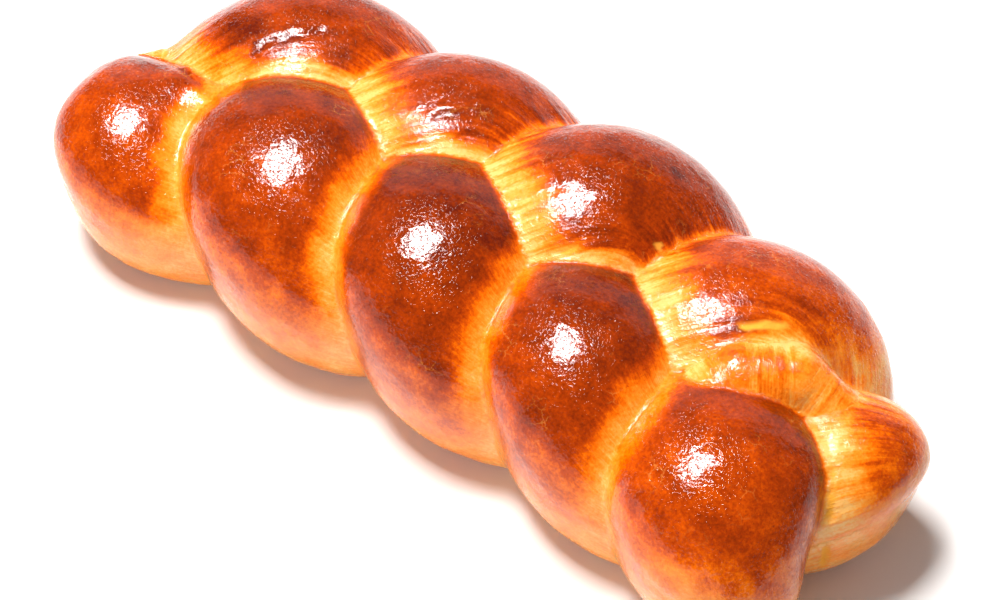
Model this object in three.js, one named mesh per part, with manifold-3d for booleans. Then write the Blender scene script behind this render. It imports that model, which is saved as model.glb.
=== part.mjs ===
// A plaited brioche loaf: three hand-rolled ropes of enriched dough, plaited, proved and baked on a flat tray, where
// they join into one piece of bread. It lies along X on the plane Z = 0, with +Z up, and the origin is the middle of
// its base. Units are millimetres.
import * as THREE from "three";
import { LoftGeometry } from "three/addons/geometries/LoftGeometry.js";
import { mergeVertices } from "three/addons/utils/BufferGeometryUtils.js";
import Module from "manifold-3d";

// The regular plait. At each crossing one rope passes over the top, from the front edge or from the back edge in turn.
const crossingPitch = 33; // along the loaf, from one crossing to the next
const crossings = 10;
const plaitHalfWidth = 35.5; // from the loaf's middle plane out to where a rope's centre turns back
const ropeCentreHeight = 39.5; // of the ropes' centres over the tray, in the loaf's middle
const weaveRise = 11; // how far a rope's centre climbs on top, and drops underneath

// One rope's section: half an ellipse above its centre, and fuller below, where it sags onto the tray.
const ropeHalfWidth = 33.5;
const ropeCrownHeight = 25.5; // from the rope's centre up to its crust
const humpSwell = 0.11; // share by which a rope swells on top and is pinched underneath
const traySag = 6; // how far a rope would hang below the tray, which presses it flat
const flankFullness = 2.5; // exponent of the lower half's superellipse: 2 is an ellipse, more is squarer
const innerReach = 0.9; // share of a bend's radius that the rope may fill on its inside

const ropes = 3;
const ropeTurn = 6; // crossings in which a rope goes from the front edge to the back edge and home again

// How each rope was rolled: where it starts and ends, in crossings from the loaf's right end, by what share its girth
// is more or less than a regular rope's, and how far its left end was drawn out.
const ropeRolls = [
  { start: -0.4, end: 8.6, girth: 0.07, drawnOut: 0 },
  { start: -0.7, end: 9.1, girth: -0.07, drawnOut: 25 },
  { start: 0, end: 9.3, girth: 0, drawnOut: 0 },
];
const tipLength = 1.2;
const tipShare = 0.05; // of the rope's size, left as a small flat at the very tip

// The loaf bows back in its middle, and toward its ends the humps sink and the ropes thin.
const bow = 20; // how far the loaf's middle lies behind its ends
const endDrop = 12; // how far the ropes' centres sink from the loaf's middle to its ends
const endThinning = 0.1; // share of its girth that a rope loses at the loaf's ends
const humpLead = 0.7; // crossings past a hump's own at which its shift is felt most

// Under the plait the ropes press together until no gap is left: an ellipsoid on the tray fills what they leave.
const heartEndGap = 50; // from the heart to the last crossing
const heartBeyondTurn = 0.5; // from where the ropes turn back out to the side of the heart
const heartBelowCentre = 9.5; // from the ropes' centres down to the top of the heart

const sectionPoints = 32;
const sectionsPerCrossing = 7;

const wasm = await Module();
wasm.setup();

// A rope passes over every third crossing. This is how its hump there lies off the regular plait, by how far the hump
// is from the loaf's middle: -1 at the right end and 1 at the left.
function humpOf(rope, count) {
  const number = 2 * rope + ropes * count;
  const place = THREE.MathUtils.clamp((2 * (number + humpLead)) / crossings - 1, -1, 1);
  const { girth, drawnOut } = ropeRolls[rope];
  return {
    along: -drawnOut * Math.max(place, 0) ** 3,
    across: bow * (0.5 - place ** 2),
    up: -endDrop * place ** 2,
    girth: girth - endThinning * place ** 6,
  };
}

// How far a rope is off the regular plait at a crossing, passing smoothly from one of its humps to the next.
function shiftAt(rope, crossing) {
  const steps = (crossing - humpLead - 2 * rope) / ropes;
  const count = Math.floor(steps);
  const share = THREE.MathUtils.smoothstep(steps - count, 0, 1);
  const from = humpOf(rope, count);
  const to = humpOf(rope, count + 1);
  const blend = (name) => THREE.MathUtils.lerp(from[name], to[name], share);
  return { along: blend("along"), across: blend("across"), up: blend("up"), girth: blend("girth") };
}

// A rope swings from the front edge to the back edge while it rises and dips twice.
const swingOf = (rope, crossing) => (2 * Math.PI * (crossing - 2 * rope)) / ropeTurn;

function centreAt(rope, crossing) {
  const swing = swingOf(rope, crossing);
  const shift = shiftAt(rope, crossing);
  return new THREE.Vector3(
    (crossings / 2 - crossing) * crossingPitch + shift.along,
    -plaitHalfWidth * Math.cos(swing) + shift.across,
    ropeCentreHeight + weaveRise * Math.sin(2 * swing) + shift.up,
  );
}

// Full size along the rope, rounding off to a tip at either end.
function taperAt(rope, crossing) {
  const { start, end } = ropeRolls[rope];
  const fromTip = Math.min(crossing - start, end - crossing) / tipLength;
  const round = Math.sqrt(1 - (1 - THREE.MathUtils.clamp(fromTip, 0, 1)) ** 2);
  return Math.max(round, tipShare);
}

// How sharply a rope bends in plan, in 1/mm: more than 0 where it turns to its left.
function bendAt(rope, crossing) {
  const step = 0.02;
  const behind = centreAt(rope, crossing - step);
  const here = centreAt(rope, crossing);
  const beyond = centreAt(rope, crossing + step);
  const turned = Math.atan2(beyond.y - here.y, beyond.x - here.x) - Math.atan2(here.y - behind.y, here.x - behind.x);
  const wrapped = Math.atan2(Math.sin(turned), Math.cos(turned));
  return (2 * wrapped) / Math.hypot(beyond.x - behind.x, beyond.y - behind.y);
}

// One section of a rope: its upper half leans back with the rope's slope, and its lower half hangs straight down.
// On the inside of a bend it is pressed short of the bend's centre, so that sections don't cross.
function sectionAt(rope, crossing) {
  const centre = centreAt(rope, crossing);
  const ahead = centreAt(rope, crossing + 0.01).sub(centreAt(rope, crossing - 0.01)).normalize();
  const plumb = new THREE.Vector3(0, 0, 1);
  const side = plumb.clone().cross(ahead).normalize();
  const leaning = new THREE.Vector3().crossVectors(ahead, side);
  const swell = 1 + humpSwell * Math.cos(2 * (swingOf(rope, crossing) - Math.PI / 4));
  const size = taperAt(rope, crossing);
  const girth = size * swell * (1 + shiftAt(rope, crossing).girth);
  const bend = bendAt(rope, crossing);
  const fuller = (value) => Math.sign(value) * Math.abs(value) ** (2 / flankFullness);
  return Array.from({ length: sectionPoints }, (_, index) => {
    const angle = (2 * Math.PI * index) / sectionPoints;
    const [cos, sin] = [Math.cos(angle), Math.sin(angle)];
    const isCrown = sin >= 0;
    let across = ropeHalfWidth * girth * (isCrown ? cos : fuller(cos));
    if (across * bend > innerReach) across = innerReach / bend;
    const high = isCrown ? ropeCrownHeight * girth * sin : size * (centre.z + traySag) * fuller(sin);
    return centre.clone().addScaledVector(side, across).addScaledVector(isCrown ? leaning : plumb, high);
  });
}

function solid(geometry) {
  const plain = new THREE.BufferGeometry().copy(geometry);
  plain.deleteAttribute("normal");
  plain.deleteAttribute("uv");
  const merged = mergeVertices(plain, 1e-4);
  return new wasm.Manifold(
    new wasm.Mesh({
      numProp: 3,
      vertProperties: new Float32Array(merged.attributes.position.array),
      triVerts: new Uint32Array(merged.index.array),
    }),
  );
}

function ropeSolid(rope) {
  const { start, end } = ropeRolls[rope];
  const steps = Math.round((end - start) * sectionsPerCrossing);
  const sections = Array.from({ length: steps + 1 }, (_, index) =>
    sectionAt(rope, THREE.MathUtils.lerp(start, end, index / steps)),
  );
  return solid(new LoftGeometry(sections, { capStart: true, capEnd: true }));
}

// Everything the tray presses flat: a block under the plane Z = 0, larger than the loaf.
function trayBlock() {
  const length = 2 * crossings * crossingPitch;
  const width = 8 * plaitHalfWidth;
  const depth = 4 * ropeCentreHeight;
  return solid(new THREE.BoxGeometry(length, width, depth).translate(0, 0, -depth / 2));
}

function heartSolid() {
  const halfLength = (crossings * crossingPitch) / 2 - heartEndGap;
  const halfWidth = plaitHalfWidth + heartBeyondTurn;
  const height = ropeCentreHeight - heartBelowCentre;
  return solid(new THREE.SphereGeometry(1, 24, 16).scale(halfLength, halfWidth, height));
}

function loafGeometry() {
  let loaf = heartSolid();
  for (let rope = 0; rope < ropes; rope++) loaf = loaf.add(ropeSolid(rope));
  const mesh = loaf.subtract(trayBlock()).getMesh();
  const geometry = new THREE.BufferGeometry();
  geometry.setAttribute("position", new THREE.BufferAttribute(new Float32Array(mesh.vertProperties), 3));
  geometry.setIndex(new THREE.BufferAttribute(new Uint32Array(mesh.triVerts), 1));
  geometry.computeBoundingBox();
  const middle = geometry.boundingBox.getCenter(new THREE.Vector3());
  geometry.translate(-middle.x, -middle.y, 0);
  geometry.computeVertexNormals();
  return geometry;
}

const crust = new THREE.MeshStandardMaterial({ color: 0xc8591c, roughness: 0.35, metalness: 0 });

const loaf = new THREE.Mesh(loafGeometry(), crust);
loaf.name = "loaf";

const part = new THREE.Group();
part.name = "brioche";
part.add(loaf);

export default part;
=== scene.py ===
import math

import bmesh
import bpy
import numpy as np
from mathutils import Matrix, Vector, noise
from mathutils.bvhtree import BVHTree


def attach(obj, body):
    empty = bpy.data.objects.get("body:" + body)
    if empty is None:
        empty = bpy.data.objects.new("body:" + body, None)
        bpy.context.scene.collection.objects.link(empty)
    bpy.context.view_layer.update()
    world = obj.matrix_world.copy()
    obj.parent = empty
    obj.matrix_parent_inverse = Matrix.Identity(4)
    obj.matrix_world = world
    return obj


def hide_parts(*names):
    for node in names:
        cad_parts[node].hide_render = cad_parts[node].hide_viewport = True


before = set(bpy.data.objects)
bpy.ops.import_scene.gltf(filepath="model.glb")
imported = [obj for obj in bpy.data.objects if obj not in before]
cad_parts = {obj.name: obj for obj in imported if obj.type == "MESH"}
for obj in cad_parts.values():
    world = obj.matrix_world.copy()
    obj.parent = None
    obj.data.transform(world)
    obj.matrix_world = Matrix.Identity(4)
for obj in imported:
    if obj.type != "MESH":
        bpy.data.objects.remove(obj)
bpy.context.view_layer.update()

# ----------------------------------------------------------------------------------------------------
# The ropes. The loaf is plaited from three hand-rolled ropes of enriched dough, which cross ten times. They
# swell as they prove and bake, and the tray presses them flat below. Each has its own length and girth.
# ----------------------------------------------------------------------------------------------------
MM = 0.001
CROSSING_PITCH = 33 * MM  # along the loaf, from one crossing to the next
CROSSINGS = 10
PLAIT_HALF_WIDTH = 35.5 * MM  # from the middle plane out to where a rope's centre turns back
CENTRE_HEIGHT = 39.5 * MM  # of the ropes' centres over the tray, in the loaf's middle
WEAVE_RISE = 11 * MM  # how far a rope's centre climbs on top, and drops underneath
ROPE_HALF_WIDTH = 33.5 * MM
CROWN_HEIGHT = 25.5 * MM  # from a rope's centre up to its crust
HUMP_SWELL = 0.11  # share by which a rope swells on top and is pinched underneath
TRAY_SAG = 6 * MM  # how far a rope would hang below the tray
FLANK_FULLNESS = 2.5  # exponent of the lower half's superellipse
INNER_REACH = 0.9  # share of a bend's radius that the rope fills on its inside
HUMP_LEAD = 0.7  # crossings past a hump's own at which its shift is felt most
TIP_LENGTH = 1.2  # crossings over which a rope's end rounds off
ROPES = 3
# How each rope was rolled: its start and end in crossings from the right, by what share its girth is more or
# less than a regular rope's, and how far its left end was drawn out.
ROPE_ROLLS = [(-0.4, 8.6, 0.07, 0), (-0.7, 9.1, -0.07, 25 * MM), (0.0, 9.3, 0.0, 0)]
BOW = 20 * MM  # how far the loaf's middle lies behind its ends
END_DROP = 12 * MM  # how far the ropes' centres sink from the loaf's middle to its ends
END_THINNING = 0.1  # share of its girth that a rope loses at the loaf's ends
FIRST_HUMP, LAST_HUMP = -4, 12  # the plait's own humps are -1 to 8, and a rope's ends run on past them
ROPE_STEP = 1.1 * MM
AROUND_POINTS = 160


def add(tree, kind, inputs=None, **settings):
    """Adds a node to a tree with its settings, and links or sets its inputs, by name or by number."""
    made = tree.nodes.new(kind)
    for name, value in settings.items():
        setattr(made, name, value)
    for key, value in (inputs or {}).items():
        if isinstance(value, bpy.types.Node):
            value = next(output for output in value.outputs if output.enabled)
        if isinstance(value, bpy.types.NodeSocket):
            tree.links.new(value, made.inputs[key])
        else:
            made.inputs[key].default_value = value
    return made


def plait_tree():
    """One rope as a skin of rings along its spine, by the plait's rule and the humps' shifts."""
    tree = bpy.data.node_groups.new("plaited_rope", "GeometryNodeTree")
    face = tree.interface
    face.new_socket("Geometry", in_out="INPUT", socket_type="NodeSocketGeometry")
    face.new_socket("Geometry", in_out="OUTPUT", socket_type="NodeSocketGeometry")
    for name, kind in [
        ("Rope", "Float"), ("Start", "Float"), ("End", "Float"), ("Rings", "Int"), ("Ring Points", "Int"),
        ("Crossing Pitch", "Float"), ("Loaf Half Length", "Float"), ("Plait Half Width", "Float"),
        ("Centre Height", "Float"), ("Weave Rise", "Float"), ("Rope Half Width", "Float"),
        ("Crown Height", "Float"), ("Hump Swell", "Float"), ("Tray Sag", "Float"), ("Tray Level", "Float"),
        ("Flank Fullness", "Float"), ("Inner Reach", "Float"), ("Hump Lead", "Float"),
        ("Tip Length", "Float"),
        ("Crust", "Material"),
    ]:
        face.new_socket(name, in_out="INPUT", socket_type="NodeSocket" + kind)
    given = add(tree, "NodeGroupInput").outputs
    math_node = "ShaderNodeMath"

    # The spine: where the rope's centre is at each ring, counted in crossings.
    index = add(tree, "GeometryNodeInputIndex")
    last = add(tree, math_node, {0: given["Rings"], 1: 1.0}, operation="SUBTRACT")
    crossing = add(tree, "ShaderNodeMapRange", {"Value": index, "From Max": last, "To Min": given["Start"],
                                                "To Max": given["End"]})
    double = add(tree, math_node, {0: given["Rope"], 1: 2.0}, operation="MULTIPLY")
    since = add(tree, math_node, {0: crossing, 1: double}, operation="SUBTRACT")
    swing = add(tree, math_node, {0: since, 1: math.pi / 3}, operation="MULTIPLY")
    twice = add(tree, math_node, {0: swing, 1: 2.0}, operation="MULTIPLY")
    late = add(tree, math_node, {0: since, 1: given["Hump Lead"]}, operation="SUBTRACT")
    steps = add(tree, math_node, {0: late, 1: 3.0}, operation="DIVIDE")
    count = add(tree, math_node, {0: steps}, operation="FLOOR")
    part_way = add(tree, math_node, {0: steps, 1: count}, operation="SUBTRACT")
    share = add(tree, "ShaderNodeMapRange", {"Value": part_way}, interpolation_type="SMOOTHSTEP")
    number = add(tree, math_node, {0: count, 1: 3.0, 2: double}, operation="MULTIPLY_ADD")
    row = add(tree, math_node, {0: number, 1: float(-FIRST_HUMP)}, operation="ADD")
    next_row = add(tree, math_node, {0: row, 1: 3.0}, operation="ADD")
    place = add(tree, "GeometryNodeInputPosition")
    girth = add(tree, "GeometryNodeInputNamedAttribute", {"Name": "girth"}, data_type="FLOAT")
    reads = {}
    for name, value, kind, at in [
        ("shift", place, "FLOAT_VECTOR", row), ("next shift", place, "FLOAT_VECTOR", next_row),
        ("girth", girth, "FLOAT", row), ("next girth", girth, "FLOAT", next_row),
    ]:
        reads[name] = add(tree, "GeometryNodeSampleIndex",
                          {"Geometry": given["Geometry"], "Value": value, "Index": at}, data_type=kind)
    shift = add(tree, "ShaderNodeMix", {0: share, 4: reads["shift"], 5: reads["next shift"]},
                data_type="VECTOR")
    swell_girth = add(tree, "ShaderNodeMix", {0: share, 2: reads["girth"], 3: reads["next girth"]},
                      data_type="FLOAT")
    run = add(tree, math_node, {0: crossing, 1: given["Crossing Pitch"]}, operation="MULTIPLY")
    along = add(tree, math_node, {0: given["Loaf Half Length"], 1: run}, operation="SUBTRACT")
    swing_cos = add(tree, math_node, {0: swing}, operation="COSINE")
    sway = add(tree, math_node, {0: swing_cos, 1: given["Plait Half Width"]}, operation="MULTIPLY")
    across = add(tree, math_node, {0: sway, 1: -1.0}, operation="MULTIPLY")
    rise_sin = add(tree, math_node, {0: twice}, operation="SINE")
    height = add(tree, math_node, {0: rise_sin, 1: given["Weave Rise"], 2: given["Centre Height"]},
                 operation="MULTIPLY_ADD")
    regular = add(tree, "ShaderNodeCombineXYZ", {0: along, 1: across, 2: height})
    centre = add(tree, "ShaderNodeVectorMath", {0: regular, 1: shift.outputs[1]}, operation="ADD")
    line = add(tree, "GeometryNodeMeshLine", {"Count": given["Rings"]}, mode="OFFSET")
    # A rope swells on top, by its hump's own girth, and rounds off to a tip at either end.
    lead = add(tree, math_node, {0: twice, 1: math.pi / 2}, operation="SUBTRACT")
    lead_cos = add(tree, math_node, {0: lead}, operation="COSINE")
    swell = add(tree, math_node, {0: lead_cos, 1: given["Hump Swell"], 2: 1.0}, operation="MULTIPLY_ADD")
    own = add(tree, math_node, {0: swell_girth.outputs[0], 1: 1.0}, operation="ADD")
    full = add(tree, math_node, {0: swell, 1: own}, operation="MULTIPLY")
    from_start = add(tree, math_node, {0: crossing, 1: given["Start"]}, operation="SUBTRACT")
    from_end = add(tree, math_node, {0: given["End"], 1: crossing}, operation="SUBTRACT")
    nearest = add(tree, math_node, {0: from_start, 1: from_end}, operation="MINIMUM")
    inward = add(tree, math_node, {0: nearest, 1: given["Tip Length"]}, operation="DIVIDE", use_clamp=True)
    short = add(tree, math_node, {0: 1.0, 1: inward}, operation="SUBTRACT")
    square = add(tree, math_node, {0: short, 1: short}, operation="MULTIPLY")
    left = add(tree, math_node, {0: 1.0, 1: square}, operation="SUBTRACT")
    taper = add(tree, math_node, {0: left}, operation="SQRT")
    spine = add(tree, "GeometryNodeSetPosition", {"Geometry": line, "Position": centre})
    kept = spine.outputs[0]
    for name, value in [("crossing", crossing), ("full", full), ("taper", taper)]:
        kept = add(tree, "GeometryNodeStoreNamedAttribute", {"Geometry": kept, "Name": name, "Value": value},
                   data_type="FLOAT", domain="POINT").outputs[0]
    curve = add(tree, "GeometryNodeMeshToCurve", {"Mesh": kept})
    tangent = add(tree, "GeometryNodeInputTangent")

    # The skin: a grid with one row of points for each ring, which takes its ring's place on the spine.
    grid = add(tree, "GeometryNodeMeshGrid", {"Size X": 1.0, "Size Y": 1.0, "Vertices X": given["Rings"],
                                              "Vertices Y": given["Ring Points"]})
    cell = add(tree, "ShaderNodeSeparateXYZ", {0: add(tree, "GeometryNodeInputPosition")})
    ring = add(tree, "ShaderNodeMapRange", {"Value": cell.outputs[0], "From Min": -0.5, "From Max": 0.5,
                                            "To Max": last})
    angle = add(tree, "ShaderNodeMapRange", {"Value": cell.outputs[1], "From Min": -0.5, "From Max": 0.5,
                                             "To Max": 2 * math.pi})
    at_ring = add(tree, math_node, {0: ring}, operation="ROUND")
    before = add(tree, math_node, {0: at_ring, 1: 1.0}, operation="SUBTRACT")
    after = add(tree, math_node, {0: at_ring, 1: 1.0}, operation="ADD")
    here = {}
    for name, value, kind, at in [
        ("centre", add(tree, "GeometryNodeInputPosition"), "FLOAT_VECTOR", at_ring),
        ("ahead", tangent, "FLOAT_VECTOR", at_ring),
        ("behind point", add(tree, "GeometryNodeInputPosition"), "FLOAT_VECTOR", before),
        ("beyond point", add(tree, "GeometryNodeInputPosition"), "FLOAT_VECTOR", after),
        ("behind way", tangent, "FLOAT_VECTOR", before),
        ("beyond way", tangent, "FLOAT_VECTOR", after),
    ] + [
        (name, add(tree, "GeometryNodeInputNamedAttribute", {"Name": name}, data_type="FLOAT"), "FLOAT",
         at_ring)
        for name in ("crossing", "full", "taper")
    ]:
        here[name] = add(tree, "GeometryNodeSampleIndex", {"Geometry": curve, "Value": value, "Index": at},
                         data_type=kind, clamp=True)
    sideways = add(tree, "ShaderNodeVectorMath", {0: (0, 0, 1), 1: here["ahead"]}, operation="CROSS_PRODUCT")
    side = add(tree, "ShaderNodeVectorMath", {0: sideways}, operation="NORMALIZE")
    leaning = add(tree, "ShaderNodeVectorMath", {0: here["ahead"], 1: side}, operation="CROSS_PRODUCT")
    turned = add(tree, "ShaderNodeVectorMath", {0: here["beyond way"], 1: here["behind way"]},
                 operation="SUBTRACT")
    travelled = add(tree, "ShaderNodeVectorMath", {0: here["beyond point"], 1: here["behind point"]},
                    operation="DISTANCE")
    turn = add(tree, "ShaderNodeVectorMath", {0: turned, 1: side}, operation="DOT_PRODUCT")
    bend = add(tree, math_node, {0: turn.outputs["Value"], 1: travelled.outputs["Value"]},
               operation="DIVIDE")
    firm_bend = add(tree, math_node, {0: bend, 1: 1e-3}, operation="MAXIMUM")
    reach = add(tree, math_node, {0: given["Inner Reach"], 1: firm_bend}, operation="DIVIDE")
    cosine = add(tree, math_node, {0: angle}, operation="COSINE")
    sine = add(tree, math_node, {0: angle}, operation="SINE")
    fuller = {}
    power = add(tree, math_node, {0: 2.0, 1: given["Flank Fullness"]}, operation="DIVIDE")
    for name, value in [("across", cosine), ("high", sine)]:
        sign = add(tree, math_node, {0: value}, operation="SIGN")
        size = add(tree, math_node, {0: value}, operation="ABSOLUTE")
        raised = add(tree, math_node, {0: size, 1: power}, operation="POWER")
        fuller[name] = add(tree, math_node, {0: sign, 1: raised}, operation="MULTIPLY")
    is_crown = add(tree, "FunctionNodeCompare", {0: sine, 1: -1e-6}, operation="GREATER_THAN",
                   data_type="FLOAT")
    across_share = add(tree, "GeometryNodeSwitch", {0: is_crown, 1: fuller["across"], 2: cosine},
                       input_type="FLOAT")
    girth_here = add(tree, math_node, {0: here["full"], 1: here["taper"]}, operation="MULTIPLY")
    half_width = add(tree, math_node, {0: girth_here, 1: given["Rope Half Width"]}, operation="MULTIPLY")
    wide = add(tree, math_node, {0: half_width, 1: across_share}, operation="MULTIPLY")
    pressed = add(tree, math_node, {0: wide, 1: reach}, operation="MINIMUM")
    crown = add(tree, math_node, {0: girth_here, 1: given["Crown Height"]}, operation="MULTIPLY")
    crown_high = add(tree, math_node, {0: crown, 1: sine}, operation="MULTIPLY")
    centre_z = add(tree, "ShaderNodeSeparateXYZ", {0: here["centre"]})
    hang = add(tree, math_node, {0: centre_z.outputs[2], 1: given["Tray Sag"]}, operation="ADD")
    hang_here = add(tree, math_node, {0: hang, 1: here["taper"]}, operation="MULTIPLY")
    hang_low = add(tree, math_node, {0: hang_here, 1: fuller["high"]}, operation="MULTIPLY")
    high = add(tree, "GeometryNodeSwitch", {0: is_crown, 1: hang_low, 2: crown_high}, input_type="FLOAT")
    way_up = add(tree, "GeometryNodeSwitch", {0: is_crown, 1: (0, 0, 1), 2: leaning}, input_type="VECTOR")
    side_step = add(tree, "ShaderNodeVectorMath", {0: side, "Scale": pressed}, operation="SCALE")
    up_step = add(tree, "ShaderNodeVectorMath", {0: way_up, "Scale": high}, operation="SCALE")
    stepped = add(tree, "ShaderNodeVectorMath", {0: here["centre"], 1: side_step}, operation="ADD")
    point = add(tree, "ShaderNodeVectorMath", {0: stepped, 1: up_step}, operation="ADD")
    parts = add(tree, "ShaderNodeSeparateXYZ", {0: point})
    on_tray = add(tree, math_node, {0: parts.outputs[2], 1: given["Tray Level"]}, operation="MAXIMUM")
    resting = add(tree, "ShaderNodeCombineXYZ", {0: parts.outputs[0], 1: parts.outputs[1], 2: on_tray})
    # The rope's own measures stay on its skin: they give the crust its grain and its bake.
    kept = grid.outputs[0]
    for name, value in [("crossing", here["crossing"]), ("around", angle), ("rope", given["Rope"])]:
        kept = add(tree, "GeometryNodeStoreNamedAttribute", {"Geometry": kept, "Name": name, "Value": value},
                   data_type="FLOAT", domain="POINT").outputs[0]
    skin = add(tree, "GeometryNodeSetPosition", {"Geometry": kept, "Position": resting})
    outward = add(tree, "GeometryNodeFlipFaces", {"Mesh": skin})
    real = add(tree, "GeometryNodeRealizeInstances", {0: outward})
    finished = add(tree, "GeometryNodeSetMaterial", {"Geometry": real, "Material": given["Crust"]})
    add(tree, "NodeGroupOutput", {0: finished})
    return tree


def hump_points():
    """How each hump lies off the regular plait, as a mesh of loose points with a girth. It goes by how far
    the hump is from the loaf's middle: -1 at the right end and 1 at the left."""
    shifts, girths = [], []
    for number in range(FIRST_HUMP, LAST_HUMP + 1):
        _, _, girth, drawn_out = ROPE_ROLLS[2 * number % ROPES]
        place = min(max(2 * (number + HUMP_LEAD) / CROSSINGS - 1, -1), 1)
        shifts.append((-drawn_out * max(place, 0) ** 3, BOW * (0.5 - place ** 2), -END_DROP * place ** 2))
        girths.append(girth - END_THINNING * place ** 6)
    mesh = bpy.data.meshes.new("humps")
    mesh.from_pydata(shifts, [], [])
    mesh.attributes.new("girth", "FLOAT", "POINT").data.foreach_set("value", girths)
    return mesh


def rope_mesh(tree, rope, tray_level, material):
    """One rope's skin as a plain mesh, pressed flat at the tray's level."""
    holder = bpy.data.objects.new("rope_holder", hump_points())
    bpy.context.scene.collection.objects.link(holder)
    plait = holder.modifiers.new("plait", "NODES")
    plait.node_group = tree
    start, end, _, _ = ROPE_ROLLS[rope]
    rope_length = (end - start) * 1.35 * CROSSING_PITCH
    values = {
        "Rope": float(rope), "Start": start, "End": end, "Rings": round(rope_length / ROPE_STEP),
        "Ring Points": AROUND_POINTS, "Crossing Pitch": CROSSING_PITCH,
        "Loaf Half Length": CROSSINGS * CROSSING_PITCH / 2, "Plait Half Width": PLAIT_HALF_WIDTH,
        "Centre Height": CENTRE_HEIGHT, "Weave Rise": WEAVE_RISE, "Rope Half Width": ROPE_HALF_WIDTH,
        "Crown Height": CROWN_HEIGHT, "Hump Swell": HUMP_SWELL, "Tray Sag": TRAY_SAG,
        "Tray Level": tray_level, "Flank Fullness": FLANK_FULLNESS, "Inner Reach": INNER_REACH,
        "Hump Lead": HUMP_LEAD, "Tip Length": TIP_LENGTH, "Crust": material,
    }
    for socket in tree.interface.items_tree:
        if socket.in_out == "INPUT" and socket.name in values:
            plait[socket.identifier] = values[socket.name]
    bpy.context.view_layer.update()
    graph = bpy.context.evaluated_depsgraph_get()
    mesh = bpy.data.meshes.new_from_object(holder.evaluated_get(graph))
    bpy.data.objects.remove(holder)
    return mesh


def mesh_points(mesh):
    points = np.empty(len(mesh.vertices) * 3, np.float32)
    mesh.vertices.foreach_get("co", points)
    return points.reshape(-1, 3).astype(np.float64)


# ----------------------------------------------------------------------------------------------------
# The crust. Brioche is brushed with beaten egg before it bakes, and the egg sets to a thin clear gloss over
# bread that browns most on the crowns. Dough that was hidden from the brush stretches out in the oven, pale.
# ----------------------------------------------------------------------------------------------------
def srgb(code):
    """A hex colour as linear red, green, blue and alpha."""
    values = [int(code[i:i + 2], 16) / 255 for i in (1, 3, 5)]
    return tuple(v / 12.92 if v <= 0.04045 else ((v + 0.055) / 1.055) ** 2.4 for v in values) + (1.0,)


# From dough that was never brushed, to the darkest crowns.
BAKE_COLOURS = [
    (0.00, "#e8ad5e"),
    (0.12, "#e8963c"),
    (0.26, "#ea801c"),
    (0.42, "#dc6300"),
    (0.56, "#b94400"),
    (0.70, "#973000"),
    (0.84, "#7a2400"),
    (1.00, "#571404"),
]
CRUMB_COLOUR = "#e39a35"  # torn bread inside a split
CRACK_COLOUR = "#e59a45"  # hairline cracks in the glaze, which show the bread below

crust = bpy.data.materials.new("egg_washed_brioche_crust")
crust.use_nodes = True
tree = crust.node_tree
tree.nodes.clear()
math_node = "ShaderNodeMath"
where = add(tree, "ShaderNodeTexCoord").outputs["Object"]
bake_and_light = add(tree, "ShaderNodeAttribute", attribute_name="bake_and_light").outputs["Fac"]
streak = add(tree, "ShaderNodeAttribute", attribute_name="streak").outputs["Fac"]
torn = add(tree, "ShaderNodeAttribute", attribute_name="torn").outputs["Fac"]
grain = add(tree, "ShaderNodeAttribute", attribute_name="grain").outputs["Vector"]

# Uneven browning: blotches 9 mm across, mottling of 1.3 mm from the dough's bubbles, and streaks where it
# stretched.
blotch = add(tree, "ShaderNodeTexNoise", {"Vector": where, "Scale": 110.0, "Detail": 3.0})
mottle = add(tree, "ShaderNodeTexNoise", {"Vector": where, "Scale": 760.0, "Detail": 4.0, "Roughness": 0.65})
pulled = add(tree, "ShaderNodeMapping", {"Vector": grain, "Scale": (60.0, 480.0, 1.0)})
streaks = add(tree, "ShaderNodeTexNoise", {"Vector": pulled, "Scale": 1.0, "Detail": 4.0, "Roughness": 0.6})
combed = add(tree, "ShaderNodeMapping", {"Vector": grain, "Scale": (150.0, 1300.0, 1.0)})
feathers = add(tree, "ShaderNodeTexNoise", {"Vector": combed, "Scale": 1.0, "Detail": 3.0, "Roughness": 0.6,
                                            "Distortion": 0.8})
blotch_off = add(tree, "ShaderNodeMapRange", {"Value": blotch, "From Min": 0.3, "From Max": 0.7,
                                              "To Min": -0.1, "To Max": 0.1})
mottle_off = add(tree, "ShaderNodeMapRange", {"Value": mottle, "From Min": 0.3, "From Max": 0.7,
                                              "To Min": -0.1, "To Max": 0.1})
streak_off = add(tree, "ShaderNodeMapRange", {"Value": streaks, "From Min": 0.32, "From Max": 0.68,
                                              "To Min": -0.2, "To Max": 0.13})
feather_off = add(tree, "ShaderNodeMapRange", {"Value": feathers, "From Min": 0.45, "From Max": 0.72,
                                               "To Min": 0.0, "To Max": -0.15})
pulled_here = add(tree, math_node, {0: streak_off, 1: streak}, operation="MULTIPLY")
feathery = add(tree, "ShaderNodeAttribute", attribute_name="feather").outputs["Fac"]
streak_here = add(tree, math_node, {0: feather_off, 1: feathery, 2: pulled_here}, operation="MULTIPLY_ADD")
uneven = add(tree, math_node, {0: blotch_off, 1: mottle_off}, operation="ADD")
uneven_all = add(tree, math_node, {0: uneven, 1: streak_here}, operation="ADD")
bake_light_and_noise = add(tree, math_node, {0: bake_and_light, 1: uneven_all}, operation="ADD", use_clamp=True)
browning = add(tree, "ShaderNodeValToRGB", {"Fac": bake_light_and_noise})
ramp = browning.color_ramp
while len(ramp.elements) < len(BAKE_COLOURS):
    ramp.elements.new(0.5)
for element, (position, code) in zip(ramp.elements, BAKE_COLOURS):
    element.position = position
    element.color = srgb(code)

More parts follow.
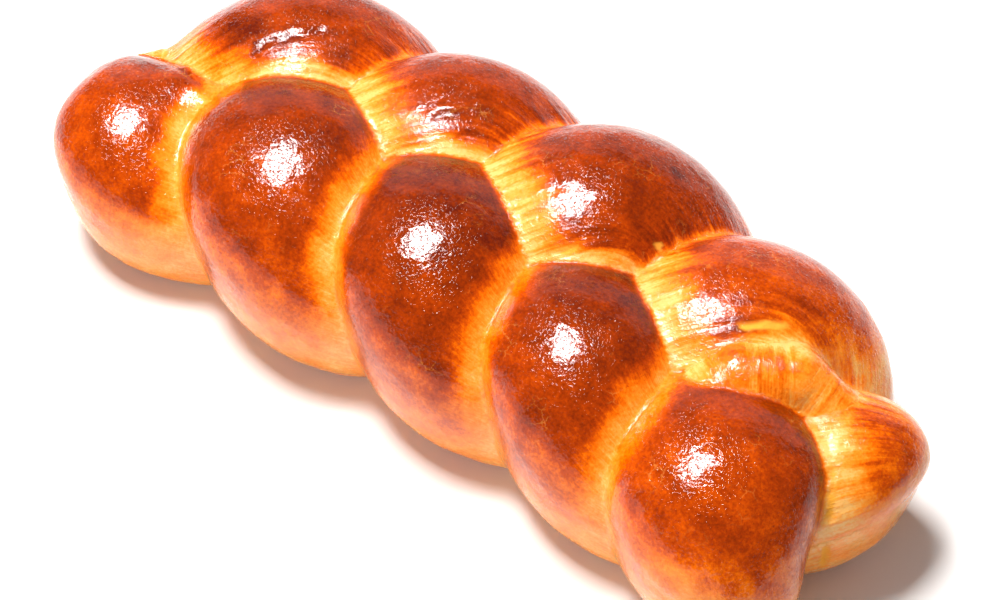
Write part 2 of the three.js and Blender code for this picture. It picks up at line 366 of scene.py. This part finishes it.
# Hairline cracks in the glaze, about 6 mm apart, in patches.
bent = add(tree, "ShaderNodeVectorMath", {0: mottle.outputs["Color"], "Scale": 0.003}, operation="SCALE")
crooked = add(tree, "ShaderNodeVectorMath", {0: where, 1: bent}, operation="ADD")
plates = add(tree, "ShaderNodeTexVoronoi", {"Vector": crooked, "Scale": 170.0}, feature="DISTANCE_TO_EDGE")
hairline = add(tree, "ShaderNodeMapRange", {"Value": plates, "From Min": 0.0, "From Max": 0.035,
                                            "To Min": 1.0, "To Max": 0.0})
patches = add(tree, "ShaderNodeTexNoise", {"Vector": where, "Scale": 62.0, "Detail": 2.0})
patchy = add(tree, "ShaderNodeMapRange", {"Value": patches, "From Min": 0.58, "From Max": 0.7,
                                          "To Max": 0.32})
crack = add(tree, math_node, {0: hairline, 1: patchy}, operation="MULTIPLY")
cracked = add(tree, "ShaderNodeMix", {0: crack, 6: browning, 7: srgb(CRACK_COLOUR)}, data_type="RGBA")
coloured = add(tree, "ShaderNodeMix", {0: torn, 6: cracked.outputs[2], 7: srgb(CRUMB_COLOUR)},
               data_type="RGBA")

# Relief too fine for the mesh: wrinkles of the glaze 4 mm apart, its pimples of 1 mm, and the dough's pull.
wrinkle = add(tree, "ShaderNodeTexNoise", {"Vector": where, "Scale": 230.0, "Detail": 3.0, "Roughness": 0.5,
                                           "Distortion": 0.35})
pimple = add(tree, "ShaderNodeTexNoise", {"Vector": where, "Scale": 1150.0, "Detail": 2.0, "Roughness": 0.5})
pimples = add(tree, "ShaderNodeMapRange", {"Value": pimple, "From Min": 0.55, "From Max": 0.75,
                                           "To Max": 0.3})
pull_relief = add(tree, math_node, {0: streaks, 1: streak}, operation="MULTIPLY")
glaze_relief = add(tree, math_node, {0: wrinkle, 1: 1.3, 2: pimples}, operation="MULTIPLY_ADD")
relief = add(tree, math_node, {0: pull_relief, 1: 1.6, 2: glaze_relief}, operation="MULTIPLY_ADD")
bump = add(tree, "ShaderNodeBump", {"Height": relief, "Strength": 0.5, "Distance": 0.0006})
gloss = add(tree, "ShaderNodeMapRange", {"Value": patches, "From Min": 0.35, "From Max": 0.65, "To Min": 0.4,
                                         "To Max": 0.55})
# The torn crumb took no egg, so it has no gloss.
glazed = add(tree, "ShaderNodeMapRange", {"Value": torn, "To Min": 1.0, "To Max": 0.1})
skin = add(tree, "ShaderNodeBsdfPrincipled", {
    "Base Color": coloured.outputs[2], "Roughness": gloss, "IOR": 1.4, "Specular IOR Level": 0.0,
    "Subsurface Weight": 0.1, "Subsurface Radius": (1.0, 0.42, 0.12), "Subsurface Scale": 0.002,
    "Coat Weight": glazed, "Coat Roughness": 0.035, "Coat IOR": 1.47, "Normal": bump, "Coat Normal": bump,
})
add(tree, "ShaderNodeOutputMaterial", {"Surface": skin})

# ----------------------------------------------------------------------------------------------------
# The loaf. In the oven the ropes press into each other and join, so the crust runs from one to the next
# through a rounded crease: tight where they only touch, and wide where the dough stretched.
# ----------------------------------------------------------------------------------------------------
GRID = 1.35 * MM
FRONT, BACK = 0, 1
BACK_CREASE, FRONT_CREASE = 1.2 * MM, 0.7 * MM  # how far a crease rounds
TRAY_EDGE = 1.6 * MM  # how far the crust rounds where it leaves the tray
FITTING_PASSES = 2
# The dough's grain: how far one crossing is along a rope, and one radian round a rope and round a loose roll.
ALONG_CROSSING, ROUND_ROPE, ROUND_ROLL = 40 * MM, 30 * MM, 11 * MM
STRAND_LENGTH, STRAND_WIDTH = 20 * MM, 3.2 * MM
# Steep flanks are paler: partly less browning, partly painted light for the front light and the white table's
# reflection on them.
FLANK_PALENESS_AND_LIGHT = 0.21  # of bake lost on a steep flank, partly where less heat reached it, partly painted light
LOOSE_BAKE = 0.36  # of dough that isn't part of a regular hump
LEAST_BAKE = 0.2  # on the low flanks
# How pale the crust is beside a crease, by the hump it is on and the hump across the crease:
# how far the paleness reaches in mm, and how pale it is beside the crease.
PALE_BESIDE = {
    (FRONT, FRONT, -1): (14, 0.72),
    # On this side the paleness is partly real and partly painted reflection: it also pales the front humps'
    # left rims, where the white table shows in the gloss.
    (FRONT, FRONT, 1): (12, 0.55),
    (FRONT, BACK, 0): (2.5, 0.5),
    (BACK, FRONT, 1): (23, 0.84),
    (BACK, FRONT, -1): (10, 0.9),
    (BACK, BACK, 0): (5, 0.45),
}
# How much darker or lighter each hump is baked, by its number along the plait from the right.
HUMP_BAKE = {-1: -0.02, 0: 0.04, 1: -0.06, 2: 0.12, 3: 0.06, 4: 0.15, 5: 0.03, 6: 0.08, 7: 0.04, 8: 0.04}
# Dough that isn't part of a regular hump: its name, the rope it belongs to or None, how softly it joins that
# rope in mm, and its path, as places with a radius in mm.
BULGES = [
    ("far shoulder", 1, 3.0, [(-153, -24, 38, 21), (-134, -18, 46, 16), (-116, -12, 52, 11)]),
    ("stretched roll", None, 0, [(93, -24, 51, 9), (105, -2, 57, 13), (119, 9, 56, 13), (133, 11, 49, 11),
                                 (143, 4, 43, 8)]),
    ("tucked tip", None, 0, [(-166, -13, 41, 6), (-156, -5, 44, 7), (-143, 2, 47, 6)]),
]
# Splits where the crust tore open and shows the crumb: half width and depth in mm, and the places along each.
SPLITS = [
    (1.8, 0.9, [(30, -2, 69), (38, 12, 70), (46, 24, 66), (57, 22, 67)]),
    (2.2, 0.6, [(98, 9, 70), (108, 18, 70), (117, 22, 68)]),
    (2.0, 1.6, [(149, -12, 54), (155, -21, 47), (157, -24, 30), (157, -23, 18)]),
    (1.4, 0.9, [(-121, -27, 56), (-122, -31, 50)]),
]
# Folds pressed into the crust, with painted shade darkening their grooves: half width, depth and lip in mm,
# and the places along each.
FOLDS = [
    (2.2, 0.6, 0.5, [(-113, 9, 73), (-107, 18, 75), (-99, 27, 76), (-94, 33, 75)]),
    (1.6, 1.0, 0.7, [(-137, -12, 60), (-126, -14, 62), (-114, -20, 66)]),
    (1.8, 0.6, 0.6, [(-40, 18, 75), (-33, 27, 77), (-24, 36, 77)]),
    (1.5, 0.45, 0.5, [(-32, 15, 73), (-25, 22, 75), (-17, 28, 76)]),
    (1.5, 0.5, 0.6, [(100, 14, 73), (113, 23, 72), (127, 29, 65)]),
]
# Patches paler (less than 0) or darker than the crust around them: place, radius in mm, and change.
PATCHES = [
    (148, 34, 42, 28, -0.38),
    # Painted light: this patch pales the low front flank of the rightmost front hump, for the front light and
    # the white table's reflection there.
    (134, -72, 48, 24, -0.14),
    (131, 32, 60, 18, -0.16),
    (112, 16, 72, 15, -0.2),
    (150, -7, 50, 13, -0.08),
    (-156, -4, 48, 18, 0.16),
    (-127, 3, 66, 20, 0.22),
    (-112, 2, 70, 13, 0.08),
    (-97, 14, 74, 13, -0.12),
    (-106, -58, 36, 15, -0.2),
    (41, 49, 70, 5, 0.3),
    (-97, -20, 66, 3.5, 0.15),
]


def smooth_step(low, high, value):
    share = np.clip((value - low) / (high - low), 0, 1)
    return share * share * (3 - 2 * share)


def uneven_field(points, size, seed):
    """Smooth noise of about -1 to 1 at each point, with features of a size in metres."""
    offset = Vector((seed * 7.31, seed * 3.17, seed * 5.73))
    scale = 1 / size
    return np.array([noise.noise(Vector(p) * scale + offset) for p in points])


def hump_of(rope, crossing):
    return 2 * rope + 3 * np.floor((crossing - 2 * rope + 0.75) / 3)


def near_path(points, path):
    """How far each point is from a path, where along it and how far round, and which way is out."""
    found = None
    run = 0.0
    for start, end in zip(path, path[1:]):
        a, b = np.array(start[:3]) * MM, np.array(end[:3]) * MM
        step = b - a
        length = np.linalg.norm(step)
        share = np.clip((points - a) @ step / length ** 2, 0, 1)
        off = points - (a + share[:, None] * step)
        gap = np.linalg.norm(off, axis=1)
        radius = (start[3] + share * (end[3] - start[3])) * MM if len(start) > 3 else 0.0
        side = np.cross((0, 0, 1), step / length)
        these = [gap - radius, off / (gap[:, None] + 1e-9), run + share * length,
                 np.arctan2(off[:, 2], off @ side), off @ side]
        if found is None:
            found = these
        else:
            closer = these[0] < found[0]
            found = [np.where(closer[:, None] if old.ndim > 1 else closer, new, old)
                     for new, old in zip(these, found)]
        run += length
    return found


def add_balls(places, faces, path):
    """A row of balls along a path, as points and faces, to stand for its dough before the skin is joined."""
    ball = bmesh.new()
    for start, end in zip(path, path[1:]):
        for share in (0, 0.25, 0.5, 0.75, 1):
            x, y, z, radius = (a + share * (b - a) for a, b in zip(start, end))
            bmesh.ops.create_icosphere(ball, subdivisions=3, radius=radius * MM,
                                       matrix=Matrix.Translation((x * MM, y * MM, z * MM)))
    first = len(places)
    faces += [[first + corner.index for corner in face.verts] for face in ball.faces]
    places += [tuple(corner.co) for corner in ball.verts]
    ball.free()


class RopeSkin:
    """A rope's skin, to ask how far a point is from it, and where along and around the rope it is nearest."""

    def __init__(self, mesh, rope):
        self.rope = rope
        self.points = mesh_points(mesh)
        self.faces = np.empty(len(mesh.polygons) * 4, np.int32)
        mesh.polygons.foreach_get("vertices", self.faces)
        self.faces = self.faces.reshape(-1, 4)
        normals = np.empty(len(mesh.vertices) * 3, np.float32)
        mesh.vertex_normals.foreach_get("vector", normals)
        self.normals = normals.reshape(-1, 3).astype(np.float64)
        self.measures = {}
        for name in ("crossing", "around"):
            values = np.empty(len(mesh.vertices), np.float32)
            mesh.attributes[name].data.foreach_get("value", values)
            self.measures[name] = values.astype(np.float64)
        self.tree = BVHTree.FromPolygons(self.points.tolist(), self.faces.tolist())

    def ask(self, points):
        found = [self.tree.find_nearest(Vector(p)) for p in points]
        nearest = np.array([f[0] for f in found])
        corners = self.faces[[f[2] for f in found]]
        gap = np.linalg.norm(self.points[corners] - nearest[:, None], axis=2)
        weight = 1 / (gap ** 2 + 1e-9)
        weight /= weight.sum(1)[:, None]
        normal = (self.normals[corners] * weight[:, :, None]).sum(1)
        normal /= np.linalg.norm(normal, axis=1)[:, None]
        away = points - nearest
        distance = np.linalg.norm(away, axis=1) * np.sign((away * normal).sum(1))
        crossing, around = ((self.measures[name][corners] * weight).sum(1) for name in ("crossing", "around"))
        return distance, normal, crossing, around


def face_out(normal, distance, width):
    """Ropes joined with a rounded crease: how far each point is outside, and which way is out."""
    share = np.exp(-(distance - distance.min(0)) / width)
    total = share.sum(0)
    outside = distance.min(0) - width * np.log(total)
    way = (normal * (share / total)[:, :, None]).sum(0)
    return outside, way / np.linalg.norm(way, axis=1)[:, None]


plait = plait_tree()
flat_ropes = [rope_mesh(plait, rope, 0.0, crust) for rope in range(ROPES)]
corners = np.concatenate([mesh_points(mesh) for mesh in flat_ropes])
middle = (corners.min(0) + corners.max(0)) / 2 * np.array([1, 1, 0])

# One closed skin over the three ropes, on an even grid.
joined = bpy.data.meshes.new("joined_ropes")
counts = np.cumsum([0] + [len(mesh.vertices) for mesh in flat_ropes])
faces = []
for mesh, first in zip(flat_ropes, counts):
    rows = np.empty(len(mesh.polygons) * 4, np.int32)
    mesh.polygons.foreach_get("vertices", rows)
    faces += (rows.reshape(-1, 4) + first).tolist()
places = (corners - middle).tolist()
for _, _, _, path in BULGES:
    add_balls(places, faces, path)
joined.from_pydata(places, [], faces)
loaf = bpy.data.objects.new("loaf_crust", joined)
bpy.context.scene.collection.objects.link(loaf)
grid = loaf.modifiers.new("grid", "REMESH")
grid.mode = "VOXEL"
grid.voxel_size = GRID
bpy.context.view_layer.update()
skin_mesh = bpy.data.meshes.new_from_object(loaf.evaluated_get(bpy.context.evaluated_depsgraph_get()))
loaf.modifiers.clear()
loaf.data = skin_mesh
points = mesh_points(skin_mesh)

# Each point moves onto the joined ropes' rounded surface, with the tray's edge rounded as well.
hanging = [rope_mesh(plait, rope, -1.0, crust) for rope in range(ROPES)]
for mesh in hanging:
    mesh.transform(Matrix.Translation(-Vector(middle)))
skins = [RopeSkin(mesh, rope) for rope, mesh in enumerate(hanging)]
for _ in range(FITTING_PASSES):
    asked = [rope_skin.ask(points) for rope_skin in skins]
    for _, rope, softness, path in BULGES:
        outside, out, along, round_it, _ = near_path(points, path)
        if rope is None:
            asked.append((outside, out, along, round_it))
        else:
            gap, way, crossing, around = asked[rope]
            gap, way = face_out(np.array([way, out]), np.array([gap, outside]), softness * MM)
            asked[rope] = (gap, way, crossing, around)
    distance, normal, crossing, around = (np.array([a[i] for a in asked]) for i in range(4))
    on = distance.argmin(0)
    pick = lambda table: np.take_along_axis(table, on[None], 0)[0]
    hump = hump_of(on, pick(crossing))
    is_loose = on >= ROPES
    is_back = (hump % 2 == 1) | is_loose
    width = np.where(is_back, BACK_CREASE, FRONT_CREASE)
    outside, out = face_out(normal, distance, width)
    low = -points[:, 2]
    more = np.maximum(outside, low)
    both = np.exp((outside - more) / TRAY_EDGE) + np.exp((low - more) / TRAY_EDGE)
    lifted = more + TRAY_EDGE * np.log(both)
    share = 1 / (1 + np.exp(np.clip((low - outside) / TRAY_EDGE, -50, 50)))
    way = out * share[:, None] + np.array([0, 0, -1.0]) * (1 - share)[:, None]
    way /= np.linalg.norm(way, axis=1)[:, None]
    points -= way * lifted[:, None]

# Each point's place along and around its rope, which the dough's grain follows.
arc = pick(crossing) * ALONG_CROSSING
ring = pick(around) * ROUND_ROPE
arc = np.where(is_loose, pick(around) * ROUND_ROLL, arc)
ring = np.where(is_loose, pick(crossing), ring)
grain_points = np.stack([arc / STRAND_LENGTH, ring / STRAND_WIDTH, on * 5.0], 1)
strands = uneven_field(grain_points, 1.0, 4)

# What the crust is like at each point. Its bake also carries painted light and shade: paler lit flanks, a
# pale low front flank and rims, and darker fold grooves.
height = points[:, 2] / MM
pale = np.zeros(len(points))
feather_value = np.zeros(len(points))
reach_noise = 0.7 * uneven_field(points, 9 * MM, 1) + np.where(is_back, 0.9, 0.25) * strands
for other in range(len(distance)):
    across_hump = hump_of(other, crossing[other]) if other < ROPES else hump * 0 + 1
    gap = distance[other] / MM
    for (kind, other_kind, step), (reach, strength) in PALE_BESIDE.items():
        here = (on != other) & (is_back == (kind == BACK)) & (across_hump % 2 == other_kind)
        if step:
            here &= np.sign(across_hump - hump) == step
        amount = strength * smooth_step(reach, 0.1 * reach, gap + 0.25 * reach * reach_noise)
        pale = np.where(here, np.maximum(pale, amount), pale)
        if (kind, other_kind, step) == (FRONT, FRONT, -1):
            feather_value = np.where(here, smooth_step(20, 3, gap), feather_value)
baked_front = 0.3 + 0.33 * smooth_step(8, 50, height) + 0.15 * smooth_step(-50, -6, points[:, 1] / MM)
baked_back = 0.3 + 0.44 * smooth_step(10, 72, height)
blotches = uneven_field(points, 6 * MM, 8)
bake_and_light_value = np.where(is_back, baked_back, baked_front)
# Painted light in part: the crust is paler where the surface faces steeply sideways.
bake_and_light_value -= FLANK_PALENESS_AND_LIGHT * smooth_step(0.6, 0.4, out[:, 2] + 0.06 * blotches)
for number, change in HUMP_BAKE.items():
    bake_and_light_value += change * (hump == number)
bake_and_light_value = np.where(is_loose, LOOSE_BAKE + 0.1 * reach_noise, bake_and_light_value)
pale *= 0.3 + 0.7 * smooth_step(10, 50, height)
bake_and_light_value = bake_and_light_value * (1 - pale)
for x, y, z, radius, change in PATCHES:
    gap = np.linalg.norm(points / MM - np.array([x, y, z]), axis=1)
    bake_and_light_value += change * smooth_step(radius, 0.3 * radius, gap + 0.25 * radius * reach_noise)
bake_and_light_value = np.maximum(bake_and_light_value, LEAST_BAKE * smooth_step(62, 26, height))
gaps = np.sort(np.maximum(distance, 0), axis=0)[1] / MM
streak_value = smooth_step(22, 4, gaps) * np.where(is_back, 1.0, 0.12)
feather_value = np.maximum(feather_value, 0.4 * smooth_step(26, 3, gaps) * is_back)

# Relief of the dough: slow swells, dents, strands where it stretched, folds and splits.
swells = 0.5 * uneven_field(points, 30 * MM, 2) + 0.25 * uneven_field(points, 12 * MM, 3)
dents = 0.09 * uneven_field(points, 5 * MM, 5)
relief_mm = swells + dents + 0.4 * strands * streak_value
pits = uneven_field(points, 2.6 * MM, 6)
torn_value = np.zeros(len(points))
for half_width, depth, path in SPLITS:
    gap = near_path(points, path)[0] / MM
    open_here = smooth_step(half_width, 0.35 * half_width, gap + 0.45 * half_width * pits)
    torn_value = np.maximum(torn_value, open_here)
    relief_mm -= depth * open_here * (0.5 + 0.9 * np.clip(pits, -0.4, 1))
sway = uneven_field(points, 7 * MM, 7)
for half_width, depth, lip, path in FOLDS:
    gap, _, _, _, side = near_path(points, path)
    across = side / MM / half_width + 1.1 * sway
    ends = smooth_step(3.2 * half_width, 0.5 * half_width, gap / MM)
    relief_mm += ends * (lip * np.exp(-(across - 1.4) ** 2) - depth * np.exp(-across ** 2))
    # Painted shade: the crust is darkened along each fold's groove.
    bake_and_light_value += ends * 0.1 * np.exp(-across ** 2)
off_table = smooth_step(0.5, 6, height)
points += out * (relief_mm * MM * off_table)[:, None]
points[:, 2] = np.maximum(points[:, 2], 0)

skin_mesh.vertices.foreach_set("co", points.astype(np.float32).ravel())
for name, values in [("bake_and_light", bake_and_light_value), ("streak", streak_value), ("feather", feather_value),
                     ("torn", torn_value)]:
    skin_mesh.attributes.new(name, "FLOAT", "POINT").data.foreach_set("value", values.astype(np.float32))
grain_place = np.stack([arc, ring, on * 0.5], 1).astype(np.float32)
skin_mesh.attributes.new("grain", "FLOAT_VECTOR", "POINT").data.foreach_set("vector", grain_place.ravel())
skin_mesh.materials.clear()
skin_mesh.materials.append(crust)
skin_mesh.polygons.foreach_set("use_smooth", [True] * len(skin_mesh.polygons))
skin_mesh.update()
for mesh in flat_ropes + hanging + [joined]:
    bpy.data.meshes.remove(mesh)
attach(loaf, "root")
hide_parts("loaf")

# ----------------------------------------------------------------------------------------------------
# The table and the light. The loaf lies on a plain white table, under a soft box overhead, with a low white
# reflector and a soft fill in front and a wide soft panel behind.
# ----------------------------------------------------------------------------------------------------
TABLE_SIDE = 5.0
TABLE_GAP = 0.3 * MM  # under the loaf, so that the two flat faces don't lie in one plane
AIR_LIGHT, AIR_SEEN = 0.08, 0.9  # how much the room lights the loaf, and how bright it is past the table
table_mesh = bpy.data.meshes.new("table_top")
half = TABLE_SIDE / 2
table_corners = [(-half, -half, 0), (half, -half, 0), (half, half, 0), (-half, half, 0)]
table_mesh.from_pydata(table_corners, [], [(0, 1, 2, 3)])
table = bpy.data.objects.new("table_top", table_mesh)
bpy.context.scene.collection.objects.link(table)
table.location.z = -TABLE_GAP
lacquer = bpy.data.materials.new("matt_white_table")
lacquer.use_nodes = True
lacquer_skin = lacquer.node_tree.nodes["Principled BSDF"]
lacquer_skin.inputs["Base Color"].default_value = srgb("#f4f3f1")
lacquer_skin.inputs["Roughness"].default_value = 0.6
table_mesh.materials.append(lacquer)

VIEW_AZIMUTH, VIEW_ELEVATION, VIEW_DISTANCE = math.radians(37.5), math.radians(52), 0.9
back = Vector((math.sin(VIEW_AZIMUTH) * math.cos(VIEW_ELEVATION),
               -math.cos(VIEW_AZIMUTH) * math.cos(VIEW_ELEVATION), math.sin(VIEW_ELEVATION)))
right = Vector((math.cos(VIEW_AZIMUTH), math.sin(VIEW_AZIMUTH), 0))
away = Vector((-math.sin(VIEW_AZIMUTH), math.cos(VIEW_AZIMUTH), 0))


def soft_light(name, direction, distance, size, power, aim):
    data = bpy.data.lights.new(name, "AREA")
    data.shape = "RECTANGLE"
    data.size, data.size_y = size
    data.energy = power
    lamp = bpy.data.objects.new(name, data)
    lamp.visible_camera = False
    bpy.context.scene.collection.objects.link(lamp)
    lamp.location = aim + direction.normalized() * distance
    lamp.rotation_euler = (aim - lamp.location).to_track_quat("-Z", "Y").to_euler()
    return lamp


up = Vector((0, 0, 1))
loaf_middle = Vector((0, 0, 0.04))
soft_light("soft_box", -0.2 * right + 0.19 * away + 0.95 * up, 1.1, (0.48, 0.42), 27, loaf_middle)
soft_light("front_reflector", -0.7 * right - 0.7 * away + 0.11 * up, 1.2, (3.0, 0.32), 3.4, loaf_middle)
fill = soft_light("front_fill", -0.5 * right - 0.8 * away + 0.5 * up, 1.5, (1.6, 1.0), 7.5, loaf_middle)
fill.visible_glossy = False
soft_light("back_panel", 0.25 * right + 1.0 * away + 0.3 * up, 1.5, (2.4, 0.8), 3.0, loaf_middle)
world = bpy.data.worlds.new("studio_air")
world.use_nodes = True
world.node_tree.nodes["Background"].inputs["Color"].default_value = (1, 1, 1, 1)
air = world.node_tree
ray = add(air, "ShaderNodeLightPath").outputs["Is Camera Ray"]
seen = add(air, "ShaderNodeMapRange", {"Value": ray, "To Min": AIR_LIGHT, "To Max": AIR_SEEN})
air.links.new(seen.outputs[0], air.nodes["Background"].inputs["Strength"])
bpy.context.scene.world = world
bpy.context.scene.view_settings.view_transform = "Standard"

camera_data = bpy.data.cameras.new("camera")
camera_data.lens = 90
camera_data.sensor_width = 36
camera_data.clip_start = 0.01
camera = bpy.data.objects.new("camera", camera_data)
bpy.context.scene.collection.objects.link(camera)
target = Vector((0.0070, -0.0070, 0.030))
camera.location = target + back * VIEW_DISTANCE
camera.rotation_euler = back.to_track_quat("Z", "Y").to_euler()
bpy.context.scene.camera = camera
